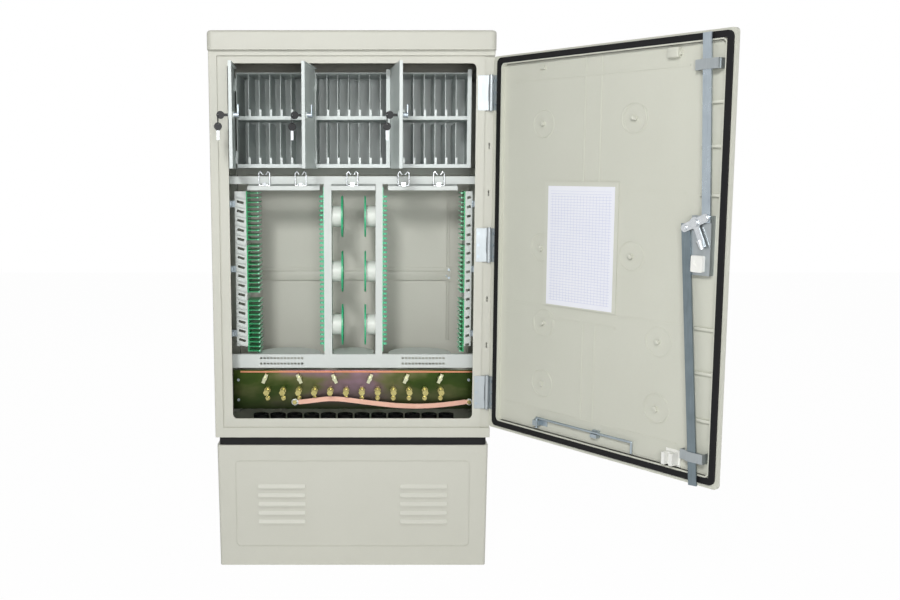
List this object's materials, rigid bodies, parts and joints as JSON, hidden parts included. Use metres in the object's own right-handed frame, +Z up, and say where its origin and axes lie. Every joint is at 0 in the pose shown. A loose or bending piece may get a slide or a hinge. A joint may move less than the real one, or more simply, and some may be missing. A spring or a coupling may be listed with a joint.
{
  "type": "roadside utility cabinet",
  "caption": "Free-standing roadside fibre cross-connection cabinet on a vented base, with one wide door, inner compartments, fibre guides, spools and an earthing plate.",
  "frame": {"origin": "centre of the four anchor holes at the underside of the foot", "axes": "+Z up, -Y towards the door side, +X towards the hinge side"},
  "size_m": [1.1898, 0.8862, 1.45],
  "materials": {
    "moulded_shell": "matte moulded beige grey with a fine texture",
    "moulded_door": "satin moulded beige grey",
    "moulded_cap": "matte moulded grey beige",
    "black_rubber": "matte",
    "zinc_steel": "bright zinc",
    "painted_sheet": "semi-gloss grey powder coat",
    "pale_sheet": "satin light grey powder coat",
    "chromate_plate": "yellow and violet chromate on zinc",
    "copper": "drawn copper",
    "brass": "plated",
    "green_plastic": "gloss",
    "mint_plastic": "gloss",
    "white_plastic": "satin",
    "black_plastic": "gloss",
    "chrome": "polished",
    "paper": "matte, printed with a pale grid"
  },
  "bodies": {
    "cabinet": {"base_plinth": "moulded_shell", "base_seal": "black_rubber", "side_panel_left": "moulded_shell", "side_panel_right": "moulded_shell", "rear_panel": "moulded_shell", "floor_panel": "moulded_shell", "door_frame": "moulded_shell", "roof_cap": "moulded_cap", "frame_hinge_leaves": "zinc_steel", "equipment_frame": "painted_sheet", "compartment_box_left": "painted_sheet", "compartment_box_middle": "painted_sheet", "compartment_box_right": "painted_sheet", "slot_dividers": "painted_sheet", "cable_rail": "pale_sheet", "cable_rings": "chrome", "cable_trays": "pale_sheet", "slotted_panel_left": "pale_sheet", "slotted_panel_right": "pale_sheet", "cable_clamps": "zinc_steel", "fibre_guides": "green_plastic", "centre_posts": "pale_sheet", "clip_combs": "mint_plastic", "spool_hubs": "white_plastic", "spool_flanges": "mint_plastic", "lower_shelf": "pale_sheet", "ground_plate": "chromate_plate", "ground_insulators": "white_plastic", "copper_bar": "copper", "clamp_studs": "brass", "earth_studs": "brass", "earth_lead": "copper", "fixing_screws": "zinc_steel", "entry_grommets": "black_rubber"},
    "main_door": {"door_shell": "moulded_door", "door_gasket": "black_rubber", "door_hinge_leaves": "zinc_steel", "document_pocket": "moulded_door", "chart_sheet": "paper", "rod_guides": "zinc_steel", "guide_rollers": "white_plastic", "lock_bracket": "zinc_steel", "lock_cover": "white_plastic", "stay_brackets": "zinc_steel", "corner_catch": "white_plastic", "door_screws": "zinc_steel"},
    "lock_crank": {"lock_crank": "chrome", "door_handle": "chrome"},
    "upper_rod": {"rod_upper": "zinc_steel"},
    "lower_rod": {"rod_lower": "zinc_steel"},
    "door_stay": {"stay_rod": "zinc_steel"},
    "small_door_left": {"compartment_door_left": "painted_sheet"},
    "lock_cam_left": {"cam_left": "zinc_steel", "key_left": "black_plastic"},
    "small_door_middle": {"compartment_door_middle": "painted_sheet"},
    "lock_cam_middle": {"cam_middle": "zinc_steel", "key_middle": "black_plastic"},
    "small_door_right": {"compartment_door_right": "painted_sheet"},
    "lock_cam_right": {"cam_right": "zinc_steel", "key_right": "black_plastic"}
  },
  "joints": [
    {"name": "main_door_hinge", "type": "hinge", "parent": "cabinet", "child": "main_door", "pos_m": [0.3653, -0.1572, 0.89], "axis": [0, 0, 1], "range_deg": [-127.2, 2.8]},
    {"name": "lock_turn", "type": "hinge", "parent": "main_door", "child": "lock_crank", "pos_m": [0.75527, -0.67096, 0.9767], "axis": [-0.7965, -0.6046, 0], "range_deg": [-50, 0]},
    {"name": "upper_rod_slide", "type": "slide", "parent": "main_door", "child": "upper_rod", "axis": [-0.0241, 0.0317, 0.9992], "range_m": [-0.0236, 0]},
    {"name": "lower_rod_slide", "type": "slide", "parent": "main_door", "child": "lower_rod", "axis": [-0.0468, 0.0617, 0.997], "range_m": [0, 0.0236]},
    {"name": "stay_swing", "type": "hinge", "parent": "main_door", "child": "door_stay", "pos_m": [0.47851, -0.30139, 0.44], "axis": [0, 0, -1], "range_deg": [0, 150]},
    {"name": "compartment_door_left_hinge", "type": "hinge", "parent": "cabinet", "child": "small_door_left", "pos_m": [-0.3145, -0.08, 1.228], "axis": [0, 0, 1], "range_deg": [-2.5, 86.7]},
    {"name": "cam_left_turn", "type": "hinge", "parent": "small_door_left", "child": "lock_cam_left", "pos_m": [-0.30751, -0.26511, 1.228], "axis": [-0.9982, -0.0593, 0], "range_deg": [-90, 0]},
    {"name": "compartment_door_middle_hinge", "type": "hinge", "parent": "cabinet", "child": "small_door_middle", "pos_m": [-0.0983, -0.08, 1.228], "axis": [0, 0, 1], "range_deg": [-2.5, 96.6]},
    {"name": "cam_middle_turn", "type": "hinge", "parent": "small_door_middle", "child": "lock_cam_middle", "pos_m": [-0.12175, -0.25044, 1.228], "axis": [-0.9936, 0.1132, 0], "range_deg": [-90, 0]},
    {"name": "compartment_door_right_hinge", "type": "hinge", "parent": "cabinet", "child": "small_door_right", "pos_m": [0.1081, -0.08, 1.228], "axis": [0, 0, 1], "range_deg": [-2.5, 85.3]},
    {"name": "cam_right_turn", "type": "hinge", "parent": "small_door_right", "child": "lock_cam_right", "pos_m": [0.1196, -0.26479, 1.228], "axis": [-0.9965, -0.0837, 0], "range_deg": [-90, 0]}
  ],
  "couplings": [
    {"joint": "upper_rod_slide", "follows": "lock_turn", "m_per_rad": 0.026929},
    {"joint": "lower_rod_slide", "follows": "lock_turn", "m_per_rad": -0.026929},
    {"joint": "compartment_door_left_hinge", "follows": "main_door_hinge", "ratio": -0.68082},
    {"joint": "compartment_door_middle_hinge", "follows": "main_door_hinge", "ratio": -0.75865},
    {"joint": "compartment_door_right_hinge", "follows": "main_door_hinge", "ratio": -0.66981}
  ]
}
